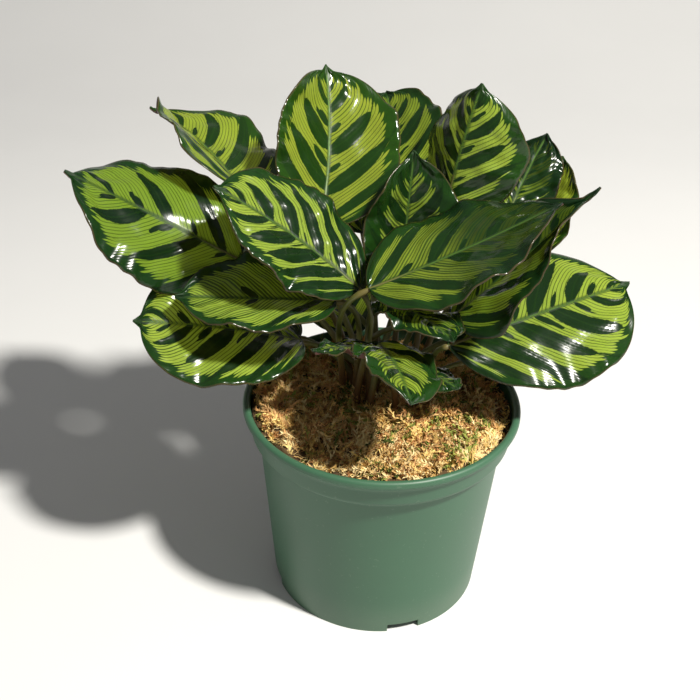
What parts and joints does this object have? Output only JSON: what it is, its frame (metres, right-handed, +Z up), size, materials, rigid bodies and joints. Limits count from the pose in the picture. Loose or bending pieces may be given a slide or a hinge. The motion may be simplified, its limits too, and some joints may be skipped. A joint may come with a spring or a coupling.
{
  "type": "potted calathea",
  "caption": "Peacock calathea in a round green nursery pot: patterned leaves on thin petioles, dried moss over the potting mix.",
  "frame": {"origin": "centre of the pot's flat underside, on its axis", "axes": "+Z up along the pot's axis, -Y towards the viewer of the plant's front, +X to the viewer's right"},
  "size_m": [0.3092, 0.2405, 0.2938],
  "materials": {
    "pot": "satin moulded green",
    "potting_mix": "rough dark peat mix",
    "moss_top": "rough dried moss",
    "leaf": "satin leaf with dark markings"
  },
  "bodies": {
    "root": {"pot": "pot", "potting_mix": "potting_mix", "moss_top": "moss_top", "leaf_left_large": "leaf", "leaf_left_rear": "leaf", "leaf_left_centre": "leaf", "leaf_back_tall": "leaf", "leaf_back_middle": "leaf", "leaf_back_right": "leaf", "leaf_centre_small": "leaf", "leaf_right_centre": "leaf", "leaf_right_folded": "leaf", "leaf_right_back": "leaf", "leaf_right_rear": "leaf", "leaf_right_low": "leaf", "leaf_left_folded": "leaf", "leaf_left_low": "leaf", "leaf_front_drooping": "leaf", "leaf_front_right_small": "leaf", "leaf_front_right_low": "leaf", "leaf_front_left_small": "leaf", "leaf_hidden_right_rear": "leaf", "leaf_hidden_rear_right": "leaf", "leaf_hidden_rear": "leaf", "leaf_hidden_rear_left": "leaf", "leaf_hidden_left_low": "leaf", "leaf_hidden_right_low": "leaf", "leaf_hidden_right": "leaf", "leaf_hidden_rear_tall": "leaf"}
  },
  "joints": []
}
